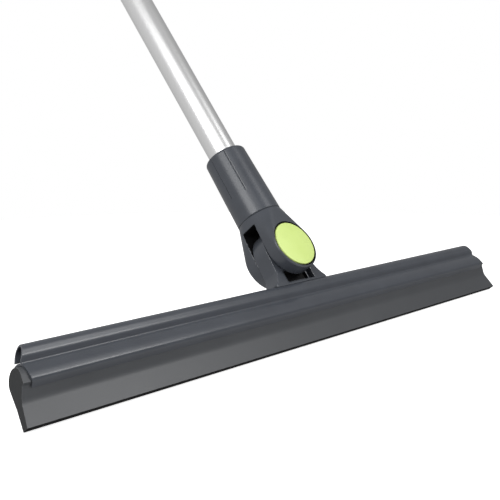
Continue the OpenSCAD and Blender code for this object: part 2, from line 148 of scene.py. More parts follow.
def new_material(name, **shader_values):
    """A material with its shader's constant values set, and the place on the piece to drive its patterns."""
    material = bpy.data.materials.new(name)
    material.use_nodes = True
    tree = material.node_tree
    shader = tree.nodes["Principled BSDF"]
    for socket, value in shader_values.items():
        shader.inputs[socket.replace("_", " ")].default_value = value
    place = add_node(tree, "ShaderNodeTexCoord").outputs["Object"]
    return material, tree, shader, place


# EPDM rubber, extruded: dull, a little bloomed, with fine die lines along its length
rubber, tree, shader, place = new_material("epdm_rubber_extruded", IOR=1.52)
die_line = 0.9 * MM
die_stretch = 0.02
bloom_size = 35 * MM
along_die = add_node(tree, "ShaderNodeMapping", {
    "Vector": place, "Scale": (die_stretch, 1, 1)}).outputs["Vector"]
lines = add_node(tree, "ShaderNodeTexNoise", {"Vector": along_die, "Scale": 1 / die_line, "Detail": 2})
bloom = add_node(tree, "ShaderNodeTexNoise", {"Vector": place, "Scale": 1 / bloom_size, "Detail": 4})
tint = add_node(tree, "ShaderNodeMix", {
    "Factor": bloom.outputs["Fac"], "A": linear("3E4043"), "B": linear("46484B")}, data_type="RGBA")
dull = add_node(tree, "ShaderNodeMapRange", {"Value": bloom.outputs["Fac"], "To Min": 0.41, "To Max": 0.47})
dents = add_node(tree, "ShaderNodeBump", {
    "Height": lines.outputs["Fac"], "Strength": 0.12, "Distance": 0.05 * MM})
tree.links.new(tint.outputs["Result"], shader.inputs["Base Color"])
tree.links.new(dull.outputs["Result"], shader.inputs["Roughness"])
tree.links.new(dents.outputs["Normal"], shader.inputs["Normal"])

# The same rubber where the lip is ground, with the marks of the wheel, painted near black as the shade under
# the lip
ground_rubber_painted_shade, tree, shader, place = new_material(
    "epdm_rubber_ground_painted_shade", IOR=1.52, Roughness=0.8, Specular_IOR_Level=0.08)
grind_mark = 0.6 * MM
marks = add_node(tree, "ShaderNodeTexNoise", {"Vector": place, "Scale": 1 / grind_mark, "Detail": 3})
tint = add_node(tree, "ShaderNodeMix", {
    "Factor": marks.outputs["Fac"], "A": linear("040405"), "B": linear("0A0A0B")}, data_type="RGBA")
dents = add_node(tree, "ShaderNodeBump", {
    "Height": marks.outputs["Fac"], "Strength": 0.3, "Distance": 0.05 * MM})
tree.links.new(tint.outputs["Result"], shader.inputs["Base Color"])
tree.links.new(dents.outputs["Normal"], shader.inputs["Normal"])

# The same rubber at its cut ends: dull and darker, a little torn
cut_rubber, tree, shader, place = new_material(
    "epdm_rubber_cut", IOR=1.52, Roughness=0.75, Specular_IOR_Level=0.25)
tear_size = 1.5 * MM
tear = add_node(tree, "ShaderNodeTexNoise", {"Vector": place, "Scale": 1 / tear_size, "Detail": 3})
tint = add_node(tree, "ShaderNodeMix", {
    "Factor": tear.outputs["Fac"], "A": linear("2B2C2D"), "B": linear("363738")}, data_type="RGBA")
tree.links.new(tint.outputs["Result"], shader.inputs["Base Color"])

blade_half = 275.0
end_angle = 11.5
lip_front = 2.35
lip_back = 3.25
lip_taper = 7.0
tip_h = -76.85
lip_top_h = -63.95
hollow_r = 10.0
bulb_r = 8.4
bulb_h = -47.95
bulb_at = (0, bulb_h)
shoulder_n = 8.9
shoulder_drop = 4.85
shoulder_face = 0.8


def leaving_angle(hollow):
    """The angle on the bulb where a straight flank leaves it for a hollow above the lip."""
    drop = bulb_h - hollow[1]
    apart = math.hypot(hollow[0], drop)
    return math.degrees(math.acos((bulb_r + hollow_r) / apart) - math.atan2(drop, hollow[0]))


back_slant = math.radians(lip_taper)
front_hollow = (lip_front + hollow_r, lip_top_h)
back_hollow = (
    lip_back + (lip_top_h - tip_h) * math.tan(back_slant) + hollow_r * math.cos(back_slant),
    lip_top_h - hollow_r * math.sin(back_slant))
front_tangent = leaving_angle(front_hollow)
back_tangent = leaving_angle(back_hollow)
# The front jaw hooks under a shoulder of the bulb, which a flat joins to the round of the bulb
shoulder = Vector((shoulder_n, bulb_h - shoulder_drop))
shoulder_foot_h = shoulder.y - shoulder_face
to_shoulder = shoulder - Vector(bulb_at)
shoulder_turn = math.degrees(
    math.acos(bulb_r / to_shoulder.length) + math.atan2(to_shoulder.y, to_shoulder.x))
flank_at = Vector(on_circle(bulb_at, bulb_r, front_tangent))
shoulder_foot_n = flank_at.x + math.tan(math.radians(front_tangent)) * (flank_at.y - shoulder_foot_h)
blade_outline = (
    [(shoulder_foot_n, shoulder_foot_h), tuple(shoulder)]
    + arc(bulb_at, bulb_r, shoulder_turn, 180 - back_tangent, steps=72)
    + arc((-back_hollow[0], back_hollow[1]), hollow_r, -back_tangent, lip_taper, steps=16)
    + [(-lip_back, tip_h), (lip_front, tip_h)]
    + arc(front_hollow, hollow_r, 180, 180 + front_tangent, steps=16)
)
end_slant = math.tan(math.radians(end_angle))
blade = long_bar("wiping_blade", blade_outline, lambda h: blade_half - end_slant * (h - tip_h))
finish_piece(blade, "head", "blade_rubber", "squeegee_blade", edge=0.3)
for finish in (rubber, ground_rubber_painted_shade, cut_rubber):
    blade.data.materials.append(finish)
# Faces near the tip that look down the handle are ground and painted near black as shade, and faces that look
# along the blade are cut
ground_shade_reach = 0.3
least_down = 0.3
least_along = 0.9
ground_shade_top = (tip_h + ground_shade_reach) * MM
for face in blade.data.polygons:
    if face.normal.dot(-handle_way) > least_down and (row_to_tool @ face.center).z < ground_shade_top:
        face.material_index = 1
    elif abs(face.normal.x) > least_along:
        face.material_index = 2

# Carrier rail
# A long moulding of glass-filled polypropylene: an arched hook along the top, open at the back, and two jaws
# below it that the blade's bulb slides into. The jaws' ends are cut square, and the hook's ends slant back.
rail_short = 10.5
rail_top_h = -27.4
hook_rise = 10.6
hook_end_angle = 26.5
hook_r = 5.5
hook_wall = 1.4
hook_n = 3.3
hook_lip = 3.6
hook_drop = 3.7
belly_round = 5.5
jaw_gap = 0.15
jaw_wall = 1.4
jaw_reach = 3.0
jaw_lip = 2.3
jaw_round = 3.0
face_r = 18.0
face_turn = 37.0
crease_round = 1.6
edge_bite = 0.4
edge_turn = 60.0
rail_half = blade_half - rail_short
hook_base_h = rail_top_h - hook_rise
hook_cut = math.tan(math.radians(hook_end_angle))
hook_h = rail_top_h - hook_r
hook_in_r = hook_r - hook_wall
belly_h = hook_h - hook_drop
front_n = hook_n + hook_r
rear_h = hook_h - hook_lip
jaw_in_r = bulb_r + jaw_gap
jaw_out_r = jaw_in_r + jaw_wall
mouth_h = bulb_h - jaw_reach
mouth_out = -math.degrees(math.asin(jaw_reach / jaw_out_r))
mouth_in = -math.degrees(math.asin(jaw_reach / jaw_in_r))
face_n = math.sqrt(jaw_in_r ** 2 - jaw_reach ** 2) + jaw_lip
face_at = Vector((face_n - face_r, mouth_h))
crease = Vector(on_circle(face_at, face_r, face_turn))
wall_angle = math.degrees(math.acos((crease.x - hook_wall) / jaw_out_r))
# The crease under the hook is filled by a round that touches the hook's belly and the jaw's face
belly = Vector((front_n, belly_h))
belly_way = (crease - belly).normalized()
belly_out = Vector((-belly_way.y, belly_way.x))
belly_turn = math.degrees(math.atan2(belly_out.y, belly_out.x))
to_line = belly + crease_round * belly_out - face_at
middle = -to_line.dot(belly_way)
reach = middle - math.sqrt(middle ** 2 - to_line.length_squared + (face_r + crease_round) ** 2)
round_at = face_at + to_line + reach * belly_way
round_start = math.degrees(math.atan2(-belly_out.y, -belly_out.x))
round_end = math.degrees(math.atan2(face_at.y - round_at.y, face_at.x - round_at.x)) % 360
belly_bend = belly_h + belly_round * math.tan(math.radians(-belly_turn / 2))
# The hook's ends begin to slant at the height where its wall leaves the jaws
inner_top = Vector((front_n - hook_wall, belly_h))
inner_foot = Vector(on_circle(bulb_at, jaw_out_r, wall_angle))
fold_out = tuple(belly + belly_way * (hook_base_h - belly_h) / belly_way.y)
fold_in = tuple(inner_foot.lerp(inner_top, (hook_base_h - inner_foot.y) / (inner_top.y - inner_foot.y)))
# The front jaw's lower edge is rounded and presses into the blade's flank, so that no gap runs along it
edge_at = (face_n - jaw_round, mouth_h)
edge_start = Vector(on_circle(edge_at, jaw_round, -edge_turn))
edge_way = Vector((-math.sin(math.radians(edge_turn)), -math.cos(math.radians(edge_turn))))
flank_out = Vector(on_circle((0, 0), 1, front_tangent))
above_flank = (edge_start - Vector(bulb_at)).dot(flank_out) - (bulb_r - edge_bite)
edge_end = tuple(edge_start - edge_way * above_flank / edge_way.dot(flank_out))
rail_outline = (
    [(hook_n - hook_r, rear_h)]
    + arc((hook_n, hook_h), hook_r, 180, 0, steps=64)
    + arc((front_n - belly_round, belly_bend), belly_round, 0, belly_turn, steps=6)
    + [fold_out]
    + arc(round_at, crease_round, round_start, round_end, steps=8)
    + arc(face_at, face_r, round_end - 180, 0, steps=24)[1:]
    + arc(edge_at, jaw_round, 0, -edge_turn, steps=12)[1:]
    + [edge_end, (shoulder.x + jaw_gap, shoulder.y - jaw_gap)]
    + arc(bulb_at, jaw_in_r, shoulder_turn, 180 - mouth_in, steps=72)
    + arc(bulb_at, jaw_out_r, 180 - mouth_out, wall_angle, steps=48)
    + [fold_in, tuple(inner_top)]
    + arc((hook_n, hook_h), hook_in_r, 0, 180, steps=48)
    + [(hook_n - hook_in_r, rear_h)]
)
rail = long_bar(
    "carrier_rail_moulding", rail_outline,
    lambda h: rail_half - hook_cut * max(0, h - hook_base_h), fold=(fold_out, fold_in))
finish_piece(rail, "head", "slate_plastic", "carrier_rail", edge=0.3)

# Glass-filled polypropylene, moulded in a spark-eroded tool: satin slate grey with a fine grain and a slow
# mottle. The grain is drawn twice as coarse as the real one, so that it shows.
slate, tree, shader, place = new_material("polypropylene_spark_grain", IOR=1.49)
grain_size = 0.5 * MM
mottle_size = 18 * MM
grain = add_node(tree, "ShaderNodeTexNoise", {"Vector": place, "Scale": 1 / grain_size, "Detail": 3})
mottle = add_node(tree, "ShaderNodeTexNoise", {"Vector": place, "Scale": 1 / mottle_size, "Detail": 3})
tint = add_node(tree, "ShaderNodeMix", {
    "Factor": mottle.outputs["Fac"], "A": linear("3D4046"), "B": linear("474B52")}, data_type="RGBA")
satin = add_node(tree, "ShaderNodeMapRange", {"Value": mottle.outputs["Fac"], "To Min": 0.27, "To Max": 0.32})
dents = add_node(tree, "ShaderNodeBump", {
    "Height": grain.outputs["Fac"], "Strength": 0.1, "Distance": 0.03 * MM})
tree.links.new(tint.outputs["Result"], shader.inputs["Base Color"])
tree.links.new(satin.outputs["Result"], shader.inputs["Roughness"])
tree.links.new(dents.outputs["Normal"], shader.inputs["Normal"])
rail.data.materials.append(slate)

# Clamp bar and screws
# A zinc-plated steel bar lies in the top of the hook, and two socket screws through it pull the hinge bracket
# down on the rail. The hinge's bolt, nut and spring washer, under the covers, have the same plating.

# Zinc-plated steel: bright grey metal, clouded by its spangle
zinc, tree, shader, place = new_material("zinc_plated_steel", Metallic=1.0)
spangle_size = 2.5 * MM
spangle = add_node(tree, "ShaderNodeTexNoise", {"Vector": place, "Scale": 1 / spangle_size, "Detail": 5})
tint = add_node(tree, "ShaderNodeMix", {
    "Factor": spangle.outputs["Fac"], "A": linear("A6A9AE"), "B": linear("C4C6C8")}, data_type="RGBA")
plated = add_node(tree, "ShaderNodeMapRange", {
    "Value": spangle.outputs["Fac"], "To Min": 0.26, "To Max": 0.42})
tree.links.new(tint.outputs["Result"], shader.inputs["Base Color"])
tree.links.new(plated.outputs["Result"], shader.inputs["Roughness"])
for name in ("clamp_bar", "bracket_screws", "hinge_bolt", "lock_nut", "spring_washer"):
    frame["nodes"][name].material_slots[0].material = zinc

# Hinge bracket
# The moulded tongue that stands in the fork, with its foot spread over the rail's hook and cored pockets
# under the hinge. It is the CAD solid with its edges melted to the soft radii of a moulding.


def moulded(name, node, voxel, rounds):
    """A copy of a CAD solid, remeshed finely and smoothed until its edges have a moulding's radii."""
    mesh = frame["nodes"][node].data.copy()
    mesh.name = name
    shape = bmesh.new()
    shape.from_mesh(mesh)
    bmesh.ops.remove_doubles(shape, verts=shape.verts, dist=0.001 * MM)
    shape.to_mesh(mesh)
    shape.free()
    mesh.materials.clear()
    piece = new_piece(name, mesh)
    remesh = piece.modifiers.new("fine skin", "REMESH")
    remesh.mode = "VOXEL"
    remesh.voxel_size = voxel * MM
    smooth = piece.modifiers.new("moulded radii", "SMOOTH")
    smooth.iterations = rounds
    smooth.factor = 0.5
    return piece


bracket = moulded("hinge_bracket_moulding", "hinge_bracket", voxel=0.45, rounds=5)
finish_piece(bracket, "head", "slate_plastic", "hinge_bracket", sharp=180, pose=False)
bracket.data.materials.append(slate)

# Bush and thrust washers
# Natural nylon: a turned bush in the tongue and two punched washers beside it, so that plastic never rubs on
# plastic of its own kind. They are closed in by the fork.

# Nylon, uncoloured: milky and waxy, with faint clouds
nylon, tree, shader, place = new_material("nylon_natural", IOR=1.53)
cloud_size = 4 * MM
cloud = add_node(tree, "ShaderNodeTexNoise", {"Vector": place, "Scale": 1 / cloud_size, "Detail": 3})
tint = add_node(tree, "ShaderNodeMix", {
    "Factor": cloud.outputs["Fac"], "A": linear("D9D8CF"), "B": linear("E6E5DE")}, data_type="RGBA")
waxy = add_node(tree, "ShaderNodeMapRange", {"Value": cloud.outputs["Fac"], "To Min": 0.42, "To Max": 0.52})
tree.links.new(tint.outputs["Result"], shader.inputs["Base Color"])
tree.links.new(waxy.outputs["Result"], shader.inputs["Roughness"])
for name in ("pivot_bush", "front_thrust_washer", "rear_thrust_washer"):
    frame["nodes"][name].material_slots[0].material = nylon

# Swivel fork
# The handle's moulded foot: a round neck under the sleeve that spreads into two round cheeks, with a slot
# between them for the bracket's tongue. It is moulded in the same slate plastic.
slot_half = 8.0
crown_h = 28.2
recess_r = 20.8
recess_n = 14.0
fork = moulded("swivel_fork_moulding", "swivel_fork", voxel=0.53, rounds=4)
finish_piece(fork, "handle", "slate_plastic", "swivel_fork", sharp=180, pose=False)
fork.data.materials.append(slate)

# The walls of the slot and of the covers' seats, and the deep of the bracket's pockets, are painted near
# black as shade
painted_shade, tree, shader, place = new_material(
    "polypropylene_painted_shade", IOR=1.49, Roughness=0.6, Specular_IOR_Level=0.15)
shade_mottle_size = 6 * MM
shade_mottle = add_node(tree, "ShaderNodeTexNoise", {"Vector": place, "Scale": 1 / shade_mottle_size, "Detail": 3})
tint = add_node(tree, "ShaderNodeMix", {
    "Factor": shade_mottle.outputs["Fac"], "A": linear("0A0A0B"), "B": linear("141416")}, data_type="RGBA")
tree.links.new(tint.outputs["Result"], shader.inputs["Base Color"])
fork.data.materials.append(painted_shade)
# Faces in the slot and in the covers' seats get the painted shade
for face in fork.data.polygons:
    at = row_to_tool @ face.center / MM
    in_slot = abs(at.y) < slot_half and at.z < crown_h
    under_cover = recess_n < abs(at.y) and math.hypot(at.x, at.z) < recess_r
    face.material_index = int(in_slot or under_cover)
pocket_half = 16.5
pocket_n = 4.4
pocket_top_h = -8.0
pocket_foot_h = -24.2
# The deep of the bracket's pockets gets the same painted shade
bracket.data.materials.append(painted_shade)
for face in bracket.data.polygons:
    at = row_to_tool @ face.center / MM
    in_pocket = abs(at.x) < pocket_half and abs(at.y) < pocket_n and pocket_foot_h < at.z < pocket_top_h
    face.material_index = int(in_pocket)

# Hinge covers
# Two round lime-green ABS covers snapped into the cheeks over the bolt's ends, slightly domed, with a rounded
# rim and a thin shadow gap around it.


def turn(shape, profile, steps=128, closed=True):
    """Turns a profile of (radius, height) about the height axis, into an open or closed skin."""
    rings = []
    for r, h in profile:
        if r < 1e-6:
            rings.append([shape.verts.new((0, 0, h * MM))] * steps)
            continue
        angles = [2 * math.pi * k / steps for k in range(steps)]
        rings.append([shape.verts.new((r * math.cos(a) * MM, r * math.sin(a) * MM, h * MM)) for a in angles])
    for low, high in zip(rings, rings[1:] + rings[:1] * closed):
        for k in range(steps):
            m = (k + 1) % steps
            corners = list(dict.fromkeys((low[k], low[m], high[m], high[k])))
            if len(corners) > 2:
                shape.faces.new(corners)


def turned(name, profile):
    """A piece turned from one closed profile."""
    shape = bmesh.new()
    turn(shape, profile)
    return closed_piece(name, shape)


# ABS, moulded and half glossy: lime green with a fine grain
lime, tree, shader, place = new_material("abs_lime_half_gloss", IOR=1.53)
grain = add_node(tree, "ShaderNodeTexNoise", {"Vector": place, "Scale": 1 / grain_size, "Detail": 2})
cloud = add_node(tree, "ShaderNodeTexNoise", {"Vector": place, "Scale": 1 / mottle_size, "Detail": 2})
tint = add_node(tree, "ShaderNodeMix", {
    "Factor": cloud.outputs["Fac"], "A": linear("CEE480"), "B": linear("D6EB8E")}, data_type="RGBA")
gloss = add_node(tree, "ShaderNodeMapRange", {"Value": cloud.outputs["Fac"], "To Min": 0.34, "To Max": 0.42})
dents = add_node(tree, "ShaderNodeBump", {
    "Height": grain.outputs["Fac"], "Strength": 0.06, "Distance": 0.03 * MM})
tree.links.new(tint.outputs["Result"], shader.inputs["Base Color"])
tree.links.new(gloss.outputs["Result"], shader.inputs["Roughness"])
tree.links.new(dents.outputs["Normal"], shader.inputs["Normal"])

cover_r = 19.3
cover_seat = 17.2
cover_face = 20.0
cover_dome = 0.9
cover_rim = 0.5
spigot_out_r = 10.4
spigot_in_r = 8.9
spigot_len = 3.6
spigot_end = cover_seat - spigot_len
rim_in_r = cover_r - cover_rim
dome_r = (rim_in_r ** 2 + cover_dome ** 2) / (2 * cover_dome)
dome_half = math.degrees(math.asin(rim_in_r / dome_r))
cover_profile = (
    [(0, cover_seat), (spigot_in_r, cover_seat), (spigot_in_r, spigot_end)]
    + [(spigot_out_r, spigot_end), (spigot_out_r, cover_seat), (cover_r, cover_seat)]
    + arc((rim_in_r, cover_face - cover_rim), cover_rim, 0, 90, steps=6)
    + arc((0, cover_face + cover_dome - dome_r), dome_r, 90 - dome_half, 90, steps=12)[1:]
)
for name, node, facing in (("front_hinge_cover", "front_cap", 90), ("rear_hinge_cover", "rear_cap", -90)):
    cover = turned(name, cover_profile)
    cover.data.transform(Matrix.Rotation(math.radians(facing), 4, "X"))
    finish_piece(cover, "handle", "lime_plastic", node, sharp=35)
    cover.data.materials.append(lime)

# Handle sleeve
# A moulded sleeve over the tube's end, seated on the fork with a fine groove between them. Narrow slits run
# down from its rounded rim, three in each side, so that the rim gives a little and grips the tube.
seam_h = 36.4
seam_round = 0.6
sleeve_foot_r = 19.3
sleeve_rim_r = 18.0
sleeve_len = 63.5
rim_round = 2.4
bore_r = 12.55
counterbore_r = 14.95
tube_seat = 8.0
slit_start = 21.5
slit_depth = 3.0
slit_width = 0.3
slit_edge_width = 0.9
slit_edge_fall = 0.22
screw_rise = 7.0
head_hole_r = 4.15
head_hole_from = 15.9
head_hole_to = 22.0
sleeve_top_h = seam_h + sleeve_len
tube_bottom_h = seam_h + tube_seat
screw_h = tube_bottom_h + screw_rise
slit_h = seam_h + slit_start
slit_in_r = sleeve_rim_r - slit_depth
slit_half = math.asin(slit_width / 2 / sleeve_rim_r)
slit_edge = math.asin(slit_edge_width / sleeve_rim_r)
rim_start_h = sleeve_top_h - rim_round
taper = (sleeve_rim_r - sleeve_foot_r) / (rim_start_h - seam_h - seam_round)
slit_r = sleeve_foot_r + taper * (slit_h - seam_h - seam_round)
sleeve_profile = (
    [(counterbore_r, seam_h), (sleeve_foot_r - seam_round, seam_h), (sleeve_foot_r, seam_h + seam_round)]
    + [(slit_r, slit_h), (slit_r + taper, slit_h + 1)]
    + arc((sleeve_rim_r - rim_round, rim_start_h), rim_round, 0, 90, steps=10)
    + [(slit_in_r, sleeve_top_h), (bore_r, sleeve_top_h)]
    + [(bore_r, tube_bottom_h), (counterbore_r, tube_bottom_h)]
)
slit_from = sleeve_profile.index((slit_r, slit_h))
slit_to = sleeve_profile.index((slit_in_r, sleeve_top_h))
# The sleeve is built of columns: an angle, whether a slit opens after it, and how far its skin is sunk
eighth = math.pi / 4
plain_eighths = (2, 6)
panel_steps = 16
columns = []
for k in range(8):
    at = k * eighth
    if k in plain_eighths:
        columns.append((at, False, 0))
    else:
        columns += [(at - slit_half - slit_edge, False, 0), (at - slit_half, True, slit_edge_fall)]
        columns += [(at + slit_half, False, slit_edge_fall), (at + slit_half + slit_edge, False, 0)]
    columns += [(at + eighth * i / panel_steps, False, 0) for i in range(1, panel_steps)]
shape = bmesh.new()
grid = []
for angle, slit_next, fall in columns:
    across = Vector((math.cos(angle), math.sin(angle), 0))
    ring = []
    for i, (r, h) in enumerate(sleeve_profile):
        sunk = fall if slit_from < i < slit_to else 0
        ring.append(shape.verts.new(((r - sunk) * across + Vector((0, 0, h))) * MM))
    grid.append(ring)
for k, (angle, slit_next, fall) in enumerate(columns):
    one = grid[k]
    two = grid[(k + 1) % len(columns)]
    for i in range(len(sleeve_profile)):
        j = (i + 1) % len(sleeve_profile)
        if not (slit_next and slit_from <= i < slit_to):
            shape.faces.new((one[i], two[i], two[j], one[j]))
    if slit_next:
        floors = []
        for wall, at in ((one, angle), (two, angle + 2 * slit_half)):
            floor_at = Vector((slit_in_r * math.cos(at), slit_in_r * math.sin(at), slit_h)) * MM
            floors.append(shape.verts.new(floor_at))
            shape.faces.new(wall[slit_from:slit_to + 1] + floors[-1:])
        shape.faces.new((one[slit_from], two[slit_from], floors[1], floors[0]))
        shape.faces.new((one[slit_to], two[slit_to], floors[1], floors[0]))
sleeve = closed_piece("handle_sleeve_moulding", shape)


def cut_away(piece, cutter):
    """Takes a second solid away from a piece, and removes that solid."""
    cut = piece.modifiers.new("cut", "BOOLEAN")
    cut.object = cutter
    cut.solver = "EXACT"
    graph = bpy.context.evaluated_depsgraph_get()
    piece.data = bpy.data.meshes.new_from_object(piece.evaluated_get(graph))
    piece.modifiers.clear()
    bpy.data.objects.remove(cutter)


to_back = Matrix.Rotation(math.radians(-90), 4, "X")
head_hole = turned("screw_recess", [
    (0, head_hole_from), (head_hole_r, head_hole_from), (head_hole_r, head_hole_to), (0, head_hole_to)])
head_hole.data.transform(Matrix.Translation((0, 0, screw_h * MM)) @ to_back)
cut_away(sleeve, head_hole)
finish_piece(sleeve, "handle", "slate_plastic", "handle_sleeve", edge=0.2)
sleeve.data.materials.append(slate)

# Tube screw
# A zinc-plated steel screw with a round pan head, set in a recess at the back of the sleeve. It is driven by
# its cross recess through the tube's wall into the fork's spigot, and holds the three together.
tube_in_r = 11.3
screw_r = 2.0
screw_tip = -5.95
point_in = 0.4
point_len = 0.8
screw_seat = 4.6
head_r = 3.8
head_rise = 2.2
head_round = 1.2
cross_half = 2.1
cross_w = 0.45
cross_depth = 1.3
head_top = screw_seat + head_rise
screw_profile = (
    [(0, screw_tip), (screw_r - point_in, screw_tip), (screw_r, screw_tip + point_len)]
    + [(screw_r, screw_seat), (head_r, screw_seat)]
    + arc((head_r - head_round, head_top - head_round), head_round, 0, 90, steps=6)
    + [(0, head_top)]
)
screw = turned("tube_screw_pan_head", screw_profile)
arm = [(cross_half, -cross_w), (cross_half, cross_w), (cross_w, cross_w), (cross_w, cross_half)]
plus = arm + [(-y, x) for x, y in arm[1:]] + [(-x, -y) for x, y in arm[1:]] + [(y, -x) for x, y in arm[1:-1]]
shape = bmesh.new()
bottom = shape.faces.new([shape.verts.new((x * MM, y * MM, (head_top - cross_depth) * MM)) for x, y in plus])
raised = bmesh.ops.extrude_face_region(shape, geom=[bottom])["geom"]
raised_corners = [part for part in raised if isinstance(part, bmesh.types.BMVert)]
bmesh.ops.translate(shape, vec=(0, 0, 2 * cross_depth * MM), verts=raised_corners)
cut_away(screw, closed_piece("cross_recess", shape))
screw_at = Matrix.Translation(Vector((0, tube_in_r, screw_h)) * MM)
screw.data.transform(screw_at @ to_back)
finish_piece(screw, "handle", "zinc_steel", "tube_screw", sharp=35)
screw.data.materials.append(zinc)

# Handle tube
# A thin aluminium tube of 25 mm, drawn and clear anodised. Its lower end is pushed into the sleeve, over the
# fork's spigot, and its upper end carries the grip and the hanging eye.
tube_r = 12.5
tube_len = 1240.0
tube_top_h = tube_bottom_h + tube_len
tube_profile = [
    (tube_in_r, tube_bottom_h), (tube_r, tube_bottom_h), (tube_r, tube_top_h), (tube_in_r, tube_top_h)]
tube = turned("handle_tube_drawn", tube_profile)
finish_piece(tube, "handle", "tube_aluminium", "handle_tube", sharp=35)

# Drawn aluminium, clear anodised: bright and soft, with fine draw lines along it
anodised, tree, shader, place = new_material("aluminium_drawn_anodised", Metallic=1.0)
draw_line = 0.7 * MM
draw_stretch = 0.004
lean = math.atan2(handle_way.y, handle_way.z)
along_tube = add_node(tree, "ShaderNodeMapping", {
    "Vector": place, "Rotation": (lean, 0, 0), "Scale": (1, 1, draw_stretch)}).outputs["Vector"]
lines = add_node(tree, "ShaderNodeTexNoise", {"Vector": along_tube, "Scale": 1 / draw_line, "Detail": 3})
tint = add_node(tree, "ShaderNodeMix", {
    "Factor": lines.outputs["Fac"], "A": linear("EAEAEA"), "B": linear("F6F6F6")}, data_type="RGBA")
drawn = add_node(tree, "ShaderNodeMapRange", {"Value": lines.outputs["Fac"], "To Min": 0.27, "To Max": 0.36})
dents = add_node(tree, "ShaderNodeBump", {
    "Height": lines.outputs["Fac"], "Strength": 0.1, "Distance": 0.02 * MM})
tree.links.new(tint.outputs["Result"], shader.inputs["Base Color"])
tree.links.new(drawn.outputs["Result"], shader.inputs["Roughness"])
tree.links.new(dents.outputs["Normal"], shader.inputs["Normal"])
tube.data.materials.append(anodised)

# Hand grip
# A moulded sleeve of soft rubber, pushed over the tube's upper end, with ring grooves along it for the hand.
# A lime ABS collar closes its lower end.

# Soft rubber: matte, clouded by use, with a fine stipple
soft_rubber, tree, shader, place = new_material("soft_grip_rubber", IOR=1.52)
stipple_size = 1.2 * MM
stipple = add_node(tree, "ShaderNodeTexVoronoi", {"Vector": place, "Scale": 1 / stipple_size})
cloud = add_node(tree, "ShaderNodeTexNoise", {"Vector": place, "Scale": 1 / mottle_size, "Detail": 3})
tint = add_node(tree, "ShaderNodeMix", {
    "Factor": cloud.outputs["Fac"], "A": linear("35383D"), "B": linear("3E4147")}, data_type="RGBA")
matte = add_node(tree, "ShaderNodeMapRange", {"Value": cloud.outputs["Fac"], "To Min": 0.6, "To Max": 0.72})
dents = add_node(tree, "ShaderNodeBump", {
    "Height": stipple.outputs["Distance"], "Strength": 0.2, "Distance": 0.1 * MM})
tree.links.new(tint.outputs["Result"], shader.inputs["Base Color"])
tree.links.new(matte.outputs["Result"], shader.inputs["Roughness"])
tree.links.new(dents.outputs["Normal"], shader.inputs["Normal"])

grip_r = 15.5
grip_len = 151.0
grip_end_round = 1.0
groove_count = 14
groove_r = 1.4
groove_out = groove_r / 2
weld_gap = 0.01 * MM
grip_bottom_h = tube_top_h - grip_len
pitch = (tube_top_h - grip_bottom_h) / (groove_count + 1)
groove_half = math.degrees(math.acos(groove_out / groove_r))
groove = arc((grip_r + groove_out, 0), groove_r, 180 + groove_half, 180 - groove_half, steps=10)
shape = bmesh.new()
turn(shape, [(grip_r, -pitch / 2)] + groove + [(grip_r, pitch / 2)], closed=False)
turn(shape, [(bore_r, -pitch / 2), (bore_r, pitch / 2)], closed=False)
ring_mesh = bpy.data.meshes.new("grip_ring")
shape.to_mesh(ring_mesh)
shape.free()
grip = new_piece("hand_grip_soft", ring_mesh)

# One ring with its groove is set along the handle by the pitch, and the rings are welded into one sleeve
tree = bpy.data.node_groups.new("rings_along_the_grip", "GeometryNodeTree")
tree.interface.new_socket("Ring", in_out="INPUT", socket_type="NodeSocketGeometry")
for size, kind in (("Count", "Int"), ("First", "Float"), ("Pitch", "Float"), ("Finish", "Material")):
    tree.interface.new_socket(size, in_out="INPUT", socket_type="NodeSocket" + kind)
tree.interface.new_socket("Grip", in_out="OUTPUT", socket_type="NodeSocketGeometry")
start = add_node(tree, "NodeGroupInput")
first = add_node(tree, "ShaderNodeCombineXYZ", {"Z": start.outputs["First"]})
apart = add_node(tree, "ShaderNodeCombineXYZ", {"Z": start.outputs["Pitch"]})
spots = add_node(tree, "GeometryNodeMeshLine", {
    "Count": start.outputs["Count"], "Start Location": first.outputs[0], "Offset": apart.outputs[0]})
rings = add_node(tree, "GeometryNodeInstanceOnPoints", {
    "Points": spots.outputs["Mesh"], "Instance": start.outputs["Ring"]})
real = add_node(tree, "GeometryNodeRealizeInstances", {"Geometry": rings.outputs[0]})
weld = add_node(tree, "GeometryNodeMergeByDistance", {"Geometry": real.outputs[0], "Distance": weld_gap})
coat = add_node(tree, "GeometryNodeSetMaterial", {
    "Geometry": weld.outputs[0], "Material": start.outputs["Finish"]})
add_node(tree, "NodeGroupOutput", {0: coat.outputs[0]})
ring_row = grip.modifiers.new("rings", "NODES")
ring_row.node_group = tree
sizes = {
    "Count": groove_count, "First": (grip_bottom_h + pitch) * MM, "Pitch": pitch * MM, "Finish": soft_rubber}
for item in tree.interface.items_tree:
    if item.in_out == "INPUT" and item.name in sizes:
        ring_row[item.identifier] = sizes[item.name]
graph = bpy.context.evaluated_depsgraph_get()
grip.data = bpy.data.meshes.new_from_object(grip.evaluated_get(graph))
grip.modifiers.clear()
# The two ends close the sleeve; the upper one is the lower one turned over
shape = bmesh.new()
shape.from_mesh(grip.data)
low_end = (
    [(bore_r, grip_bottom_h + pitch / 2), (bore_r, grip_bottom_h)]
    + arc((grip_r - grip_end_round, grip_bottom_h + grip_end_round), grip_end_round, -90, 0, steps=6)
    + [(grip_r, grip_bottom_h + pitch / 2)]
)
turn(shape, low_end, closed=False)
turn(shape, [(r, grip_bottom_h + tube_top_h - h) for r, h in low_end], closed=False)
bmesh.ops.remove_doubles(shape, verts=shape.verts, dist=weld_gap)
bmesh.ops.recalc_face_normals(shape, faces=shape.faces)
shape.to_mesh(grip.data)
shape.free()
finish_piece(grip, "handle", "grip_rubber", "hand_grip", edge=0.25)

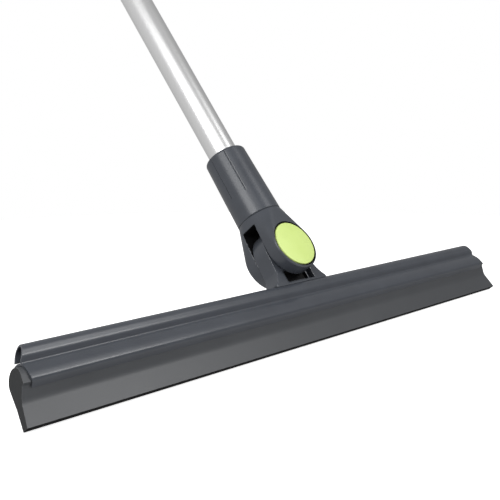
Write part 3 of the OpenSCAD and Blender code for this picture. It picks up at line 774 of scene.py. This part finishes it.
collar_round = 1.5
collar_proud = 2.0
collar_len = 9.0
collar_r = grip_r + collar_proud
collar_bottom_h = grip_bottom_h - collar_len
collar_profile = (
    [(bore_r, collar_bottom_h)]
    + arc((collar_r - collar_round, collar_bottom_h + collar_round), collar_round, -90, 0, steps=8)
    + arc((collar_r - collar_round, grip_bottom_h - collar_round), collar_round, 0, 90, steps=8)
    + [(bore_r, grip_bottom_h)]
)
collar = turned("grip_collar_lime", collar_profile)
finish_piece(collar, "handle", "lime_plastic", "grip_collar", sharp=35)
collar.data.materials.append(lime)

# Hanging eye
# A plug in the tube's top end with a flange and a flat eye, so that the tool hangs on a hook. It is moulded
# in the slate plastic, and like the bracket it is the CAD solid with a moulding's soft radii.
hanger = moulded("hanging_eye_moulding", "hanger_cap", voxel=0.5, rounds=5)
finish_piece(hanger, "handle", "slate_plastic", "hanger_cap", sharp=180, pose=False)
hanger.data.materials.append(slate)

# Floor, light and camera
# A round white table in a pale room, lit as for a catalogue: a bright panel and a weaker one at the left, and
# two small ones above the right. The camera stands where the photograph's did. Lengths here are in metres.
scene = bpy.context.scene
table_r = 0.9
shape = bmesh.new()
bmesh.ops.create_circle(shape, cap_ends=True, segments=96, radius=table_r)
table_mesh = bpy.data.meshes.new("studio_table")
shape.to_mesh(table_mesh)
shape.free()
table = new_piece("studio_table", table_mesh)
table.visible_diffuse = False
table.visible_glossy = False
# White paper that glows a little, so that it stays white around the tool's shadow
paper, tree, shader, place = new_material(
    "white_paper", Roughness=0.9, Specular_IOR_Level=0.1, Base_Color=linear("F4F4F4"),
    Emission_Color=linear("FFFFFF"), Emission_Strength=0.8)
table_mesh.materials.append(paper)

# The room is paler behind and to the left, and the white table glows before the tool; the camera sees white
pale_way = Vector((-0.75, 0.55, 0.35)).normalized()
room_dark = 0.26
room_pale = 0.62
glow_way = Vector((0, -0.6, -0.8))
glow_start = 0.4
glow_full = 0.9
glow_most = 0.7
world = bpy.data.worlds.new("studio")
scene.world = world
world.use_nodes = True
tree = world.node_tree
look = add_node(tree, "ShaderNodeTexCoord").outputs["Generated"]
side = add_node(tree, "ShaderNodeVectorMath", {0: look, 1: pale_way}, operation="DOT_PRODUCT")
room = add_node(tree, "ShaderNodeMapRange", {
    "Value": side.outputs["Value"], "From Min": -1.0, "To Min": room_dark, "To Max": room_pale})
ahead = add_node(tree, "ShaderNodeVectorMath", {0: look, 1: glow_way}, operation="DOT_PRODUCT")
table_glow = add_node(tree, "ShaderNodeMapRange", {
    "Value": ahead.outputs["Value"], "From Min": glow_start, "From Max": glow_full, "To Max": glow_most})
around = add_node(tree, "ShaderNodeMath", {
    0: room.outputs["Result"], 1: table_glow.outputs["Result"]}, operation="ADD")
ray = add_node(tree, "ShaderNodeLightPath")
seen = add_node(tree, "ShaderNodeMix", {
    "Factor": ray.outputs["Is Camera Ray"], "A": around.outputs[0], "B": 1.0})
tree.links.new(seen.outputs["Result"], tree.nodes["Background"].inputs["Strength"])
tree.nodes["Background"].inputs["Color"].default_value = linear("FFFFFF")


def soft_light(name, place, aim, along, length, width, radiance):
    """A panel of even brightness that faces a point, with its long side along a direction."""
    lamp = bpy.data.lights.new(name, "AREA")
    lamp.shape = "RECTANGLE"
    lamp.size = length
    lamp.size_y = width
    lamp.energy = radiance * math.pi * length * width
    away = (Vector(place) - Vector(aim)).normalized()
    side = (Vector(along) - Vector(along).dot(away) * away).normalized()
    light = bpy.data.objects.new(name, lamp)
    light.matrix_world = Matrix((side, away.cross(side), away)).transposed().to_4x4()
    light.location = place
    scene.collection.objects.link(light)


bolt_at = tool_to_row.translation
soft_light(
    "left_panel", place=bolt_at + Vector((-0.845, -0.14, 0.6)), aim=bolt_at, along=(0, -0.62, 0.78),
    length=0.6, width=0.4, radiance=5.5)
soft_light(
    "top_panel", place=bolt_at + Vector((-0.53, -0.4, 0.81)), aim=bolt_at, along=(0.84, 0.43, 0.34),
    length=0.6, width=0.5, radiance=1.3)
soft_light(
    "right_panel", place=(0.3, -0.55, 0.69), aim=(-0.2, 0, 0.03), along=(1, 0, 0),
    length=0.4, width=0.18, radiance=13.0)
soft_light(
    "right_top_panel", place=(0.31, -0.33, 0.85), aim=(0, 0.1, 0.12), along=(1, 0, 0),
    length=0.3, width=0.2, radiance=2.0)

# The camera is placed by where it sees the bolt: how far away, right of and below the middle of the picture
view_from = math.radians(-47.65)
view_down = math.radians(8.91)
bolt_right = 0.02477
bolt_below = 0.00496
bolt_away = 0.71259
focal_px = 877.7
photo_px = 500
to_camera = Vector((
    math.sin(view_from) * math.cos(view_down),
    -math.cos(view_from) * math.cos(view_down),
    math.sin(view_down)))
to_right = Vector((math.cos(view_from), math.sin(view_from), 0))
to_top = to_camera.cross(to_right)
lens = bpy.data.cameras.new("photo_camera")
camera = bpy.data.objects.new("photo_camera", lens)
scene.collection.objects.link(camera)
camera.matrix_world = Matrix((to_right, to_top, to_camera)).transposed().to_4x4()
camera.location = bolt_at + bolt_away * to_camera - bolt_right * to_right + bolt_below * to_top
lens.sensor_width = 36.0
lens.lens = focal_px * lens.sensor_width / photo_px
lens.clip_start = 0.01
scene.camera = camera
scene.view_settings.view_transform = "Standard"
